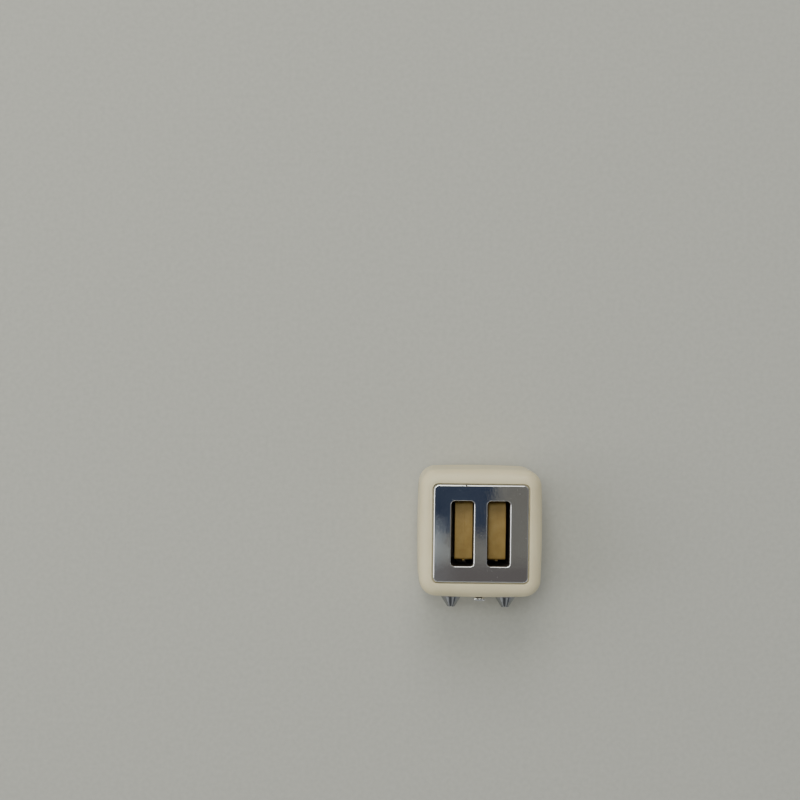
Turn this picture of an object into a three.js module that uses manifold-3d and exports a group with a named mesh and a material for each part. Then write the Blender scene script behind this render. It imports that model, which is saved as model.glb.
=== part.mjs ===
// A doll's-house toaster at 1:12: a cream moulded shell with a bright plated top plate, two slices
// of toast on a sprung carriage, and a lever between two knobs on the front.
// Millimetres, +Z up. The front, with the lever and the knobs, is -Y. The pieces are placed from the
// middle of the body, and the finished group is moved back so that its own box is over the origin.
import * as THREE from "three";
import { mergeVertices } from "three/addons/utils/BufferGeometryUtils.js";
import Module from "manifold-3d";

const wasm = await Module();
wasm.setup();

// The body as a whole
const bodyWidth = 28.8;
const bodyDepth = 30;
const overallHeight = 22;
const cornerRadius = 4.1;
const sideBow = 0.2;

// The shell
const shellWall = 1.2;
const shellDraft = 0.1;
const topRoll = 2.9;
const bottomRoll = 0.6;
const ceilingRoll = 1.5;
const ledgeThickness = 1.2;

// The plated top plate and its two slots
const plateSideBorder = 3.45;
const plateEndBorder = 3.75;
const plateThickness = 1;
const plateCornerRadius = 1.15;
const plateEdgeRadius = 0.3;
const plateProud = 0.2;
const plateGap = 0.15;
const slotSideMargin = 4.275;
const slotEndMargin = 3.75;
const slotBridge = 3.35;
const slotCornerRadius = 0.8;

// The heat-staked pegs that hold the plate down
const pegRadius = 0.6;
const pegHoleGap = 0.1;
const pegHeadRadius = 0.9;
const pegHeadHeight = 0.4;
const pegEdgeInset = 0.95;
const pegEndInset = 3.1;

// The base plate
const baseThickness = 1.4;
const baseGap = 0.15;
const ribHeight = 0.6;
const ribThickness = 0.8;
const ribGap = 0.15;

// The liner with its two wells
const linerWall = 1;
const wellSideMargin = 0.2;
const wellEndMargin = 0.6;
const wellCornerRadius = 0.5;
const linerCornerRadius = 0.8;
const linerLedgeGap = 0.2;
const flangeReach = 1;
const flangeThickness = 1;

// The toast
const toastSideRoom = 0.425;
const toastFrontRoom = 1.2;
const toastBackRoom = 0.15;
const toastInward = 0.325;
const toastSunk = 3.2;
const toastShoulderRadius = 1.5;
const toastFootRadius = 1.3;
const toastWaistInset = 0.4;
const toastCrown = 0.35;
const toastEdgeRadius = 0.3;
const gateRadius = 0.32;
const gateReach = 0.3;
const gateDrop = 2.1;
const toastWaistShare = 0.55;
const toastLobeShare = 0.72;

// The carriage that lifts the toast
const leverTravel = 4;
const carriageClearance = 0.3;
const shelfThickness = 0.9;
const shelfWallGap = 0.3;
const lipThickness = 0.35;
const lipHeight = 1;
const toastEase = 0.15;
const armWidth = 2.2;
const armSlotGap = 0.3;
const bridgeHeight = 1.6;
const columnSize = 3;
const columnCornerRadius = 0.4;

// The lever and its handle
const leverDrop = 4.5;
const tabWidth = 1.2;
const tabHeight = 1.4;
const tabSlotGap = 0.2;
const tenonWidth = 0.9;
const tenonHeight = 0.7;
const tenonLength = 0.5;
const tenonGap = 0.1;
const handleWidth = 2.6;
const handleHeight = 1.8;
const handleLength = 0.8;
const handleRadius = 0.3;
const handleStandOff = 0.2;

// The lift spring and its guide post
const springRadius = 1;
const springWire = 0.3;
const springLength = 9.6;
const springBoreGap = 0.1;
const postRadius = 0.5;
const postHeight = 5;

// The knobs
const knobHeight = 12;
const knobSideInset = 8;
const knobStandOff = 0.2;
const knobLength = 2.9;
const knobSkirtRadius = 2.6;
const knobSkirtLength = 0.45;
const knobEdgeRadius = 0.15;
const knobWaistRadius = 1.88;
const knobWaistLength = 1.42;
const knobTipRadius = 0.98;
const knobTipRound = 0.15;
const pointerWidth = 0.3;
const pointerDepth = 0.2;
const stemRadius = 0.8;
const stemHoleGap = 0.08;
const stemTail = 0.4;
const clipRadius = 1.5;
const clipThickness = 0.5;
const clipWallGap = 0.25;
const clipBoreGap = 0.05;

// The screws and the bosses that they go into
const screwSideInset = 3.7;
const screwEndInset = 10.05;
const screwHeadRadius = 1.2;
const screwHeadHeight = 0.55;
const screwShankRadius = 0.6;
const screwLength = 5;
const screwDriveWidth = 0.35;
const screwDriveDepth = 0.3;
const screwHeadGap = 0.15;
const screwHeadSunk = 0.1;
const pilotGap = 0.06;
const clearanceHoleGap = 0.15;
const bossRadius = 1.5;
const bossRib = 0.8;
const pilotSpare = 0.5;

// The feet
const footHeight = 1;
const footRadius = 1.7;
const footTaper = 0.15;
const footRound = 0.25;
const footSideInset = 5;
const footEndInset = 4.85;
const footPegRadius = 0.6;
const footPegHeight = 0.7;
const footPegGap = 0.1;

// How far a cut runs past the face that it opens, and a joined solid into its neighbour
const overrun = 0.5;

// The grid that vertices are snapped to, so that faces meant to be level are exactly level
const snap = 1e-4;

// Numbers of facets
const cornerSteps = 8;
const sideSteps = 6;
const rollSteps = 6;
const smallRollSteps = 2;
const roundSides = 24;
const smallSides = 16;

// Sizes that follow from the body's
const plateWidth = bodyWidth - 2 * plateSideBorder;
const plateDepth = bodyDepth - 2 * plateEndBorder;
const slotWidth = (plateWidth - 2 * slotSideMargin - slotBridge) / 2;
const slotLength = plateDepth - 2 * slotEndMargin;
const slotSpacing = slotWidth + slotBridge;
const toastThickness = slotWidth - 2 * toastSideRoom;
const toastLength = slotLength - toastFrontRoom - toastBackRoom;
const toastSpacing = slotSpacing - 2 * toastInward;
const toastSetBack = (toastFrontRoom - toastBackRoom) / 2;
const knobSpacing = bodyWidth - 2 * knobSideInset;

// Heights of the main faces
const baseTop = footHeight + baseThickness;
const plateUnder = overallHeight - plateThickness;
const shellTop = overallHeight - plateProud;
const ceiling = plateUnder - ledgeThickness;
const shelfBottom = baseTop + leverTravel + carriageClearance;
const shelfTop = shelfBottom + shelfThickness;
const toastTop = overallHeight - toastSunk;
const leverHeight = overallHeight - leverDrop;

// Places that several pieces share
const frontFace = -bodyDepth / 2;
const wellWidth = slotWidth + 2 * wellSideMargin;
const wellLength = slotLength + 2 * wellEndMargin;
const linerWidth = slotSpacing + wellWidth + 2 * linerWall;
const linerDepth = wellLength + 2 * linerWall;
const columnY = (frontFace + shellWall - linerDepth / 2) / 2;
const columnTop = leverHeight + tabHeight / 2;
const handleBack = frontFace - handleStandOff;
const knobBack = frontFace - knobStandOff;
const clipFront = frontFace + shellWall + shellDraft + clipWallGap;
const sides = { left: -1, right: 1 };
const ends = { front: -1, back: 1 };
const quarterTurn = Math.PI / 2;

// Solids and booleans

// A closed three.js geometry as a solid that can be joined and cut.
function solid(geometry) {
  geometry.deleteAttribute("normal");
  geometry.deleteAttribute("uv");
  const merged = mergeVertices(geometry, snap);
  return new wasm.Manifold(
    new wasm.Mesh({
      numProp: 3,
      vertProperties: merged.attributes.position.array.map((v) => Math.round(v / snap) * snap),
      triVerts: new Uint32Array(merged.index.array),
    }),
  );
}

// The surface of a solid, back as a three.js geometry.
function surface(body) {
  const mesh = body.getMesh();
  const geometry = new THREE.BufferGeometry();
  geometry.setAttribute("position", new THREE.BufferAttribute(mesh.vertProperties, 3));
  geometry.setIndex(new THREE.BufferAttribute(mesh.triVerts, 1));
  const faceted = geometry.toNonIndexed();
  faceted.computeVertexNormals();
  return faceted;
}

// A box from its lowest to its highest corner.
function box(low, high) {
  const size = high.map((value, i) => value - low[i]);
  const middle = high.map((value, i) => (value + low[i]) / 2);
  return solid(new THREE.BoxGeometry(...size).translate(...middle));
}

// An upright round bar, or a tapered one where a second radius is given.
function barZ(x, y, bottom, top, radius, facets = smallSides, topRadius = radius) {
  const bar = new THREE.CylinderGeometry(topRadius, radius, top - bottom, facets);
  return solid(bar.rotateX(quarterTurn).translate(x, y, (top + bottom) / 2));
}

// A round bar that runs from front to back.
function barY(x, z, front, back, radius, facets = roundSides) {
  const bar = new THREE.CylinderGeometry(radius, radius, back - front, facets);
  return solid(bar.translate(x, (front + back) / 2, z));
}

// A rectangle with round corners, centred on x and y.
function roundedRectangle(width, depth, radius, x = 0, y = 0) {
  const right = width / 2 - radius;
  const back = depth / 2 - radius;
  const shape = new THREE.Shape();
  shape.absarc(x + right, y + back, radius, 0, quarterTurn);
  shape.absarc(x - right, y + back, radius, quarterTurn, 2 * quarterTurn);
  shape.absarc(x - right, y - back, radius, 2 * quarterTurn, 3 * quarterTurn);
  shape.absarc(x + right, y - back, radius, 3 * quarterTurn, 4 * quarterTurn);
  return shape;
}

// A flat shape carried straight up from one height to another.
function prism(shape, bottom, top, curveSegments = smallRollSteps + 1) {
  const depth = top - bottom;
  const extruded = new THREE.ExtrudeGeometry(shape, { depth, bevelEnabled: false, curveSegments });
  return solid(extruded.translate(0, 0, bottom));
}

// A closed skin through rings of equal counts, each a list of points and a height.
function loft(rings) {
  const count = rings[0].points.length;
  const positions = rings.flatMap(({ points, z }) => points.flatMap((p) => [p.x, p.y, z]));
  const index = [];
  for (let ring = 0; ring + 1 < rings.length; ring += 1) {
    for (let i = 0; i < count; i += 1) {
      const next = (i + 1) % count;
      const low = ring * count;
      const high = low + count;
      index.push(low + i, low + next, high + next, low + i, high + next, high + i);
    }
  }
  const last = (rings.length - 1) * count;
  for (const [a, b, c] of THREE.ShapeUtils.triangulateShape(rings[0].points, [])) {
    index.push(c, b, a);
  }
  for (const [a, b, c] of THREE.ShapeUtils.triangulateShape(rings.at(-1).points, [])) {
    index.push(last + a, last + b, last + c);
  }
  const geometry = new THREE.BufferGeometry();
  geometry.setAttribute("position", new THREE.Float32BufferAttribute(positions, 3));
  geometry.setIndex(index);
  return solid(geometry);
}

// The body's outline, inset all round: four corner arcs, and four long arcs that bow the sides.
function bodyOutline(inset) {
  const halfWidth = bodyWidth / 2;
  const halfDepth = bodyDepth / 2;
  const cornerX = halfWidth - sideBow - cornerRadius;
  const cornerY = halfDepth - sideBow - cornerRadius;
  const bowedCorner = (sideBow + cornerRadius) ** 2 - cornerRadius ** 2;
  const flankRadius = (bowedCorner + cornerY ** 2) / (2 * sideBow);
  const frontRadius = (bowedCorner + cornerX ** 2) / (2 * sideBow);
  const flankAngle = Math.atan2(cornerY, cornerX - halfWidth + flankRadius);
  const frontAngle = Math.atan2(cornerX, cornerY - halfDepth + frontRadius);
  const points = [];
  const arc = (x, y, radius, from, to, steps) => {
    const curve = new THREE.ArcCurve(x, y, radius - inset, from, to);
    points.push(...curve.getPoints(steps).slice(0, -1));
  };
  for (const turn of [0, 2 * quarterTurn]) {
    const way = turn ? -1 : 1;
    const flankX = way * (halfWidth - flankRadius);
    const frontY = way * (halfDepth - frontRadius);
    const around = turn + quarterTurn;
    arc(flankX, 0, flankRadius, turn - flankAngle, turn + flankAngle, sideSteps);
    arc(way * cornerX, way * cornerY, cornerRadius, turn + flankAngle, around - frontAngle, cornerSteps);
    arc(0, frontY, frontRadius, around - frontAngle, around + frontAngle, sideSteps);
    const next = turn + 2 * quarterTurn - flankAngle;
    arc(-way * cornerX, way * cornerY, cornerRadius, around + frontAngle, next, cornerSteps);
  }
  return points;
}

// The four places of a rectangular pattern, each with the words that name it.
function rectanglePlaces(spacingX, spacingY) {
  return Object.entries(ends).flatMap(([end, endSign]) =>
    Object.entries(sides).map(([side, sideSign]) => ({
      name: `${end}_${side}`,
      x: (sideSign * spacingX) / 2,
      y: (endSign * spacingY) / 2,
    })),
  );
}

const pegPlaces = rectanglePlaces(plateWidth - 2 * pegEdgeInset, plateDepth - 2 * pegEndInset);
const screwPlaces = rectanglePlaces(bodyWidth - 2 * screwSideInset, bodyDepth - 2 * screwEndInset);
const footPlaces = rectanglePlaces(bodyWidth - 2 * footSideInset, bodyDepth - 2 * footEndInset);

// The sub-parts

// The cream shell: a soft-edged box open below, with a recess for the plate in its top.
function bodyShell() {
  const outerRings = [];
  for (let i = 0; i <= smallRollSteps; i += 1) {
    const angle = (quarterTurn * i) / smallRollSteps;
    const inset = bottomRoll * (1 - Math.sin(angle));
    const z = footHeight + bottomRoll * (1 - Math.cos(angle));
    outerRings.push({ points: bodyOutline(inset), z });
  }
  for (let i = 0; i <= rollSteps; i += 1) {
    const angle = (quarterTurn * i) / rollSteps;
    const inset = shellDraft + topRoll * (1 - Math.cos(angle));
    outerRings.push({ points: bodyOutline(inset), z: shellTop - topRoll * (1 - Math.sin(angle)) });
  }
  const cavityRings = [{ points: bodyOutline(shellWall), z: footHeight - overrun }];
  for (let i = 0; i <= smallRollSteps + 1; i += 1) {
    const angle = (quarterTurn * i) / (smallRollSteps + 1);
    const inset = shellWall + shellDraft + ceilingRoll * (1 - Math.cos(angle));
    cavityRings.push({ points: bodyOutline(inset), z: ceiling - ceilingRoll * (1 - Math.sin(angle)) });
  }
  let shell = loft(outerRings).subtract(loft(cavityRings));

  const recess = roundedRectangle(
    plateWidth + 2 * plateGap,
    plateDepth + 2 * plateGap,
    plateCornerRadius + plateGap,
  );
  shell = shell.subtract(prism(recess, plateUnder, shellTop + overrun));
  const ledgeOpening = roundedRectangle(
    linerWidth + 2 * linerLedgeGap,
    linerDepth + 2 * linerLedgeGap,
    linerCornerRadius + linerLedgeGap,
  );
  shell = shell.subtract(prism(ledgeOpening, ceiling - overrun, plateUnder + overrun));
  for (const { x, y } of pegPlaces) {
    const hole = barZ(x, y, ceiling - overrun, plateUnder + overrun, pegRadius + pegHoleGap);
    shell = shell.subtract(hole);
  }

  for (const { x, y } of screwPlaces) {
    const wallMiddle = Math.sign(x) * (bodyWidth / 2 - shellWall / 2);
    const bossTop = ceiling + ledgeThickness / 2;
    const ribTop = ceiling - ceilingRoll / 2;
    const rib = box(
      [Math.min(x, wallMiddle), y - bossRib / 2, baseTop],
      [Math.max(x, wallMiddle), y + bossRib / 2, ribTop],
    );
    const boss = barZ(x, y, baseTop, bossTop, bossRadius);
    const pilotTop = footHeight + screwHeadSunk + screwHeadHeight + screwLength + pilotSpare;
    const pilot = barZ(x, y, baseTop - overrun, pilotTop, screwShankRadius + pilotGap);
    shell = shell.add(rib).add(boss).subtract(pilot);
  }

  const slotHalfWidth = tabWidth / 2 + tabSlotGap;
  const slotEnd = tabHeight / 2 + tabSlotGap;
  const leverSlot = box(
    [-slotHalfWidth, frontFace - overrun, leverHeight - leverTravel - slotEnd],
    [slotHalfWidth, frontFace + shellWall + overrun, leverHeight + slotEnd],
  );
  shell = shell.subtract(leverSlot);
  for (const side of Object.values(sides)) {
    const x = (side * knobSpacing) / 2;
    const holeBack = frontFace + shellWall + shellDraft + overrun;
    shell = shell.subtract(barY(x, knobHeight, frontFace - overrun, holeBack, stemRadius + stemHoleGap));
  }
  return shell;
}

// The bright top plate: a rounded edge, two slots, and four pegs staked over under the ledge.
function topPlate() {
  const shape = roundedRectangle(
    plateWidth - 2 * plateEdgeRadius,
    plateDepth - 2 * plateEdgeRadius,
    plateCornerRadius - plateEdgeRadius,
  );
  const rounded = new THREE.ExtrudeGeometry(shape, {
    depth: plateThickness,
    bevelThickness: plateEdgeRadius,
    bevelSize: plateEdgeRadius,
    bevelSegments: smallRollSteps + 1,
    curveSegments: smallRollSteps + 1,
  });
  const blank = solid(rounded.translate(0, 0, plateUnder - plateEdgeRadius));
  const half = [plateWidth, plateDepth];
  let plate = blank.intersect(box([-half[0], -half[1], plateUnder], [...half, overallHeight]));
  for (const side of Object.values(sides)) {
    const slot = roundedRectangle(slotWidth, slotLength, slotCornerRadius, (side * slotSpacing) / 2);
    plate = plate.subtract(prism(slot, plateUnder - overrun, overallHeight + overrun));
  }
  for (const { x, y } of pegPlaces) {
    const peg = barZ(x, y, ceiling - pegHeadHeight, plateUnder + plateThickness / 2, pegRadius);
    plate = plate.add(peg).add(barZ(x, y, ceiling - pegHeadHeight, ceiling, pegHeadRadius));
  }
  return plate;
}

// The black liner: two wells side by side, a flange under the ledge, and a gate in each front wall
// for the carriage's arm.
function slotLiner() {
  const outline = roundedRectangle(linerWidth, linerDepth, linerCornerRadius);
  for (const side of Object.values(sides)) {
    outline.holes.push(
      roundedRectangle(wellWidth, wellLength, wellCornerRadius, (side * slotSpacing) / 2),
    );
  }
  const flange = roundedRectangle(
    linerWidth + 2 * flangeReach,
    linerDepth + 2 * flangeReach,
    linerCornerRadius + flangeReach,
  );
  flange.holes.push(
    roundedRectangle(linerWidth - linerWall, linerDepth - linerWall, linerCornerRadius),
  );
  let liner = prism(outline, baseTop, plateUnder).add(prism(flange, ceiling - flangeThickness, ceiling));
  for (const side of Object.values(sides)) {
    const x = (side * toastSpacing) / 2;
    const half = armWidth / 2 + armSlotGap;
    const gate = box(
      [x - half, -linerDepth / 2 - overrun, baseTop - overrun],
      [x + half, -wellLength / 2 + overrun, shelfTop + armSlotGap],
    );
    liner = liner.subtract(gate);
  }
  return liner;
}

// The black carriage: a lipped shelf in each well, a bridge across the front, and a hollow column
// that takes the spring and carries the lever's tab out through the front wall.
function carriage() {
  const armFront = columnY + columnSize / 2;
  const columnOutline = roundedRectangle(columnSize, columnSize, columnCornerRadius, 0, columnY);
  let moulding = prism(columnOutline, shelfBottom, columnTop);
  const bridgeHalf = toastSpacing / 2 + armWidth / 2;
  const bridge = box(
    [-bridgeHalf, columnY, shelfBottom],
    [bridgeHalf, armFront, shelfBottom + bridgeHeight],
  );
  moulding = moulding.add(bridge);

  const trayFront = toastSetBack - toastLength / 2 - toastEase - lipThickness;
  const trayBack = toastSetBack + toastLength / 2 + toastEase + lipThickness;
  const trayInner = slotSpacing / 2 - wellWidth / 2 + shelfWallGap;
  const trayOuter = toastSpacing / 2 + toastThickness / 2 + toastEase + lipThickness;
  const lipTop = shelfTop + lipHeight;
  for (const side of Object.values(sides)) {
    const span = (near, far) => [Math.min(side * near, side * far), Math.max(side * near, side * far)];
    const [shelfLeft, shelfRight] = span(trayInner, trayOuter);
    const [lipLeft, lipRight] = span(trayOuter - lipThickness, trayOuter);
    const armX = (side * toastSpacing) / 2;
    moulding = moulding
      .add(box([shelfLeft, trayFront, shelfBottom], [shelfRight, trayBack, shelfTop]))
      .add(box([lipLeft, trayFront, shelfBottom], [lipRight, trayBack, lipTop]))
      .add(box([shelfLeft, trayFront, shelfBottom], [shelfRight, trayFront + lipThickness, lipTop]))
      .add(box([shelfLeft, trayBack - lipThickness, shelfBottom], [shelfRight, trayBack, lipTop]))
      .add(
        box(
          [armX - armWidth / 2, columnY, shelfBottom],
          [armX + armWidth / 2, trayFront + lipThickness / 2, shelfTop],
        ),
      );
  }

  const tab = box(
    [-tabWidth / 2, handleBack, leverHeight - tabHeight / 2],
    [tabWidth / 2, columnY, columnTop],
  );
  const tenon = box(
    [-tenonWidth / 2, handleBack - tenonLength, leverHeight - tenonHeight / 2],
    [tenonWidth / 2, columnY, leverHeight + tenonHeight / 2],
  );
  const boreTop = baseTop + springLength;
  const bore = barZ(0, columnY, shelfBottom - overrun, boreTop, springRadius + springBoreGap);
  return moulding.add(tab).add(tenon).subtract(bore);
}

// The plated lever handle: a small soft-edged block with a socket for the carriage's tenon.
function leverHandle() {
  const face = roundedRectangle(
    handleWidth - 2 * handleRadius,
    handleHeight - 2 * handleRadius,
    handleRadius / 2,
  );
  const block = new THREE.ExtrudeGeometry(face, {
    depth: handleLength - 2 * handleRadius,
    bevelThickness: handleRadius,
    bevelSize: handleRadius,
    bevelSegments: smallRollSteps + 1,
    curveSegments: smallRollSteps,
  });
  block.translate(0, 0, handleRadius).rotateX(quarterTurn).translate(0, handleBack, leverHeight);
  const halfWidth = tenonWidth / 2 + tenonGap;
  const halfHeight = tenonHeight / 2 + tenonGap;
  const socket = box(
    [-halfWidth, handleBack - tenonLength, leverHeight - halfHeight],
    [halfWidth, handleBack + overrun, leverHeight + halfHeight],
  );
  return solid(block).subtract(socket);
}

// The lift spring, as the sleeve that its coils fill.
function liftSpring() {
  const inner = springRadius - springWire;
  const sleeve = barZ(0, columnY, baseTop, baseTop + springLength, springRadius);
  return sleeve.subtract(barZ(0, columnY, baseTop - overrun, baseTop + springLength + overrun, inner));
}

// A plated knob, turned about the axis that it spins on: skirt, waist, tapered grip, and the stem
// that goes through the shell.
function knob(side) {
  const x = (side * knobSpacing) / 2;
  const rim = knobSkirtLength - knobEdgeRadius;
  const stemBack = clipFront + clipThickness + stemTail - knobBack;
  const profile = [
    [0, -stemBack],
    [stemRadius, -stemBack],
    [stemRadius, 0],
    [knobSkirtRadius - knobEdgeRadius, 0],
    [knobSkirtRadius, knobEdgeRadius],
    [knobSkirtRadius, rim],
    [knobSkirtRadius - knobEdgeRadius, knobSkirtLength],
    [knobWaistRadius, knobWaistLength],
    [knobTipRadius, knobLength - knobTipRound],
    [knobTipRadius - knobTipRound, knobLength],
    [0, knobLength],
  ].map(([radius, length]) => new THREE.Vector2(radius, length));
  const turned = new THREE.LatheGeometry(profile, roundSides);
  turned.rotateX(2 * quarterTurn).translate(x, knobBack, knobHeight);
  const pointer = box(
    [x - pointerWidth / 2, knobBack - knobLength - overrun, knobHeight],
    [x + pointerWidth / 2, knobBack - knobLength + pointerDepth, knobHeight + knobSkirtRadius],
  );
  return solid(turned).subtract(pointer);
}

// The ring that is pushed on the stem behind the front wall.
function knobClip(side) {
  const x = (side * knobSpacing) / 2;
  const ring = barY(x, knobHeight, clipFront, clipFront + clipThickness, clipRadius);
  const boreBack = clipFront + clipThickness + overrun;
  return ring.subtract(barY(x, knobHeight, clipFront - overrun, boreBack, stemRadius + clipBoreGap));
}

// The black base plate: screw holes, foot holes, ribs round the liner, and the spring's post.
function basePlate() {
  const outline = bodyOutline(shellWall + baseGap);
  let base = loft([
    { points: outline, z: footHeight },
    { points: outline, z: baseTop },
  ]);
  for (const { x, y } of screwPlaces) {
    const counterboreTop = footHeight + screwHeadSunk + screwHeadHeight;
    const counterbore = barZ(x, y, footHeight - overrun, counterboreTop, screwHeadRadius + screwHeadGap);
    const hole = barZ(x, y, footHeight - overrun, baseTop + overrun, screwShankRadius + clearanceHoleGap);
    base = base.subtract(counterbore).subtract(hole);
  }
  for (const { x, y } of footPlaces) {
    const holeTop = footHeight + footPegHeight + footPegGap;
    base = base.subtract(barZ(x, y, footHeight - overrun, holeTop, footPegRadius + footPegGap));
  }
  const ribInner = linerWidth / 2 + ribGap;
  const ribBack = linerDepth / 2 + ribGap;
  const ribBottom = baseTop - baseThickness / 2;
  const ribTop = baseTop + ribHeight;
  for (const side of Object.values(sides)) {
    const ribLeft = Math.min(side * ribInner, side * (ribInner + ribThickness));
    base = base.add(
      box([ribLeft, -linerDepth / 2, ribBottom], [ribLeft + ribThickness, linerDepth / 2, ribTop]),
    );
  }
  base = base.add(
    box([-linerWidth / 2, ribBack, ribBottom], [linerWidth / 2, ribBack + ribThickness, ribTop]),
  );
  return base.add(barZ(0, columnY, ribBottom, baseTop + postHeight, postRadius));
}

// A self-tapping screw, head down, with a cross recess.
function baseScrew({ x, y }) {
  const headBottom = footHeight + screwHeadSunk;
  const headTop = headBottom + screwHeadHeight;
  const head = barZ(x, y, headBottom, headTop, screwHeadRadius);
  const shank = barZ(x, y, headTop - screwHeadHeight / 2, headTop + screwLength, screwShankRadius);
  const long = screwHeadRadius / 2;
  const short = screwDriveWidth / 2;
  const driveTop = headBottom + screwDriveDepth;
  const driveBottom = headBottom - overrun;
  return head
    .add(shank)
    .subtract(box([x - long, y - short, driveBottom], [x + long, y + short, driveTop]))
    .subtract(box([x - short, y - long, driveBottom], [x + short, y + long, driveTop]));
}

// A rubber foot: a low tapered button with a peg that is pressed into the base.
function foot({ x, y }) {
  const ground = footRadius - footTaper;
  const rounding = barZ(x, y, 0, footRound, ground - footRound, roundSides, ground);
  const button = barZ(x, y, footRound, footHeight, ground, roundSides, footRadius);
  const peg = barZ(x, y, footHeight / 2, footHeight + footPegHeight, footPegRadius);
  return rounding.add(button).add(peg);
}

// A moulded slice of toast, standing on edge: round shoulders, a waist, and the gate's stub.
function toast(side) {
  const x = (side * toastSpacing) / 2;
  const height = toastTop - shelfTop;
  const half = toastLength / 2 - toastEdgeRadius;
  const waist = half - toastWaistInset;
  const low = toastEdgeRadius;
  const high = height - toastEdgeRadius;
  const shoulder = high - toastCrown;
  const outline = new THREE.Shape();
  outline.moveTo(-waist + toastFootRadius, low);
  outline.lineTo(waist - toastFootRadius, low);
  outline.quadraticCurveTo(waist, low, waist, low + toastFootRadius);
  outline.lineTo(waist, height * toastWaistShare);
  outline.quadraticCurveTo(half, height * toastWaistShare, half, height * toastLobeShare);
  outline.lineTo(half, shoulder - toastShoulderRadius);
  outline.quadraticCurveTo(half, shoulder, half - toastShoulderRadius, shoulder);
  outline.quadraticCurveTo(0, high + toastCrown, -half + toastShoulderRadius, shoulder);
  outline.quadraticCurveTo(-half, shoulder, -half, shoulder - toastShoulderRadius);
  outline.lineTo(-half, height * toastLobeShare);
  outline.quadraticCurveTo(-half, height * toastWaistShare, -waist, height * toastWaistShare);
  outline.lineTo(-waist, low + toastFootRadius);
  outline.quadraticCurveTo(-waist, low, -waist + toastFootRadius, low);
  const slice = new THREE.ExtrudeGeometry(outline, {
    depth: toastThickness - 2 * toastEdgeRadius,
    bevelThickness: toastEdgeRadius,
    bevelSize: toastEdgeRadius,
    bevelSegments: smallRollSteps,
    curveSegments: rollSteps,
  });
  slice.translate(0, 0, toastEdgeRadius - toastThickness / 2);
  slice.rotateX(quarterTurn).rotateZ(quarterTurn).translate(x, toastSetBack, shelfTop);
  const gateFront = toastSetBack - toastLength / 2 - gateReach;
  const gateBack = gateFront + gateReach + overrun;
  const gate = barY(x, toastTop - gateDrop, gateFront, gateBack, gateRadius, smallSides);
  return solid(slice).add(gate);
}

// Finishes

const finishes = {
  cream: { color: 0xd8cfb4, roughness: 0.38, metalness: 0 },
  plated: { color: 0xc9cccf, roughness: 0.08, metalness: 1 },
  black: { color: 0x1b1a19, roughness: 0.5, metalness: 0 },
  toasted: { color: 0x9a7a40, roughness: 0.6, metalness: 0 },
  steel: { color: 0x9b9da0, roughness: 0.3, metalness: 1 },
  rubber: { color: 0x2a2927, roughness: 0.85, metalness: 0 },
};

// The assembly

const toaster = new THREE.Group();
toaster.position.y = (knobStandOff + knobLength) / 2;

function place(name, body, finish) {
  const mesh = new THREE.Mesh(surface(body), new THREE.MeshStandardMaterial(finishes[finish]));
  mesh.name = name;
  toaster.add(mesh);
}

place("body_shell", bodyShell(), "cream");
place("top_plate", topPlate(), "plated");
place("slot_liner", slotLiner(), "black");
place("base_plate", basePlate(), "black");
place("carriage", carriage(), "black");
place("lever_handle", leverHandle(), "plated");
place("lift_spring", liftSpring(), "steel");
for (const [name, side] of Object.entries(sides)) {
  place(`toast_${name}`, toast(side), "toasted");
  place(`knob_${name}`, knob(side), "plated");
  place(`knob_clip_${name}`, knobClip(side), "steel");
}
for (const spot of screwPlaces) {
  place(`base_screw_${spot.name}`, baseScrew(spot), "steel");
}
for (const spot of footPlaces) {
  place(`foot_${spot.name}`, foot(spot), "rubber");
}

export default toaster;
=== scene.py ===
import math

import bmesh
import bpy
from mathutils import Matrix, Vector, noise
from mathutils.geometry import tessellate_polygon


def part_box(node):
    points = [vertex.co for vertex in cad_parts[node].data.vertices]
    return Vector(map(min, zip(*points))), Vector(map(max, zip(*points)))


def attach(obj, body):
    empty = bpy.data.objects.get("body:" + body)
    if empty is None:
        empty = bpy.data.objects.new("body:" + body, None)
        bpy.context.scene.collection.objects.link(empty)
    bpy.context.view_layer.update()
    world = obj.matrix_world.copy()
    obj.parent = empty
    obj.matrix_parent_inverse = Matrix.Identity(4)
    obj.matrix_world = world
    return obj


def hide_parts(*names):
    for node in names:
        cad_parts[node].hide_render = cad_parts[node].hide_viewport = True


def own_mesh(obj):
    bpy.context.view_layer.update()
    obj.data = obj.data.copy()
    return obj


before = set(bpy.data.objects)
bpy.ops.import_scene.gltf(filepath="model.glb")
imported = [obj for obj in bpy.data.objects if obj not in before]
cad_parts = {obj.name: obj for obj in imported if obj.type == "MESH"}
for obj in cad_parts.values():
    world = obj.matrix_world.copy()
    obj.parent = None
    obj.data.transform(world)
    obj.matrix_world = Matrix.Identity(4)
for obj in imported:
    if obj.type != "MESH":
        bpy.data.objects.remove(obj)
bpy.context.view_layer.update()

# The whole toaster: a doll's-house piece, one twelfth of full size, so everything is in tenths of a
# millimetre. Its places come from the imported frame: the shell's middle, and the face of its front.
mm = 0.001
shell_low, shell_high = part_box("body_shell")
plate_low, plate_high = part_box("top_plate")
middle_y = (shell_low.y + shell_high.y) / 2
front_y = shell_low.y

# Camera: the photograph looks straight down from about a third of a metre, with the toaster below
# and to the right of the picture's middle, turned a little clockwise.
photo_width_px = 800
focal_px = 1444
camera_height = 332 * mm
camera_left = 19.02 * mm
camera_back = 30.57 * mm
camera_turn = math.radians(0.7)

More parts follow.
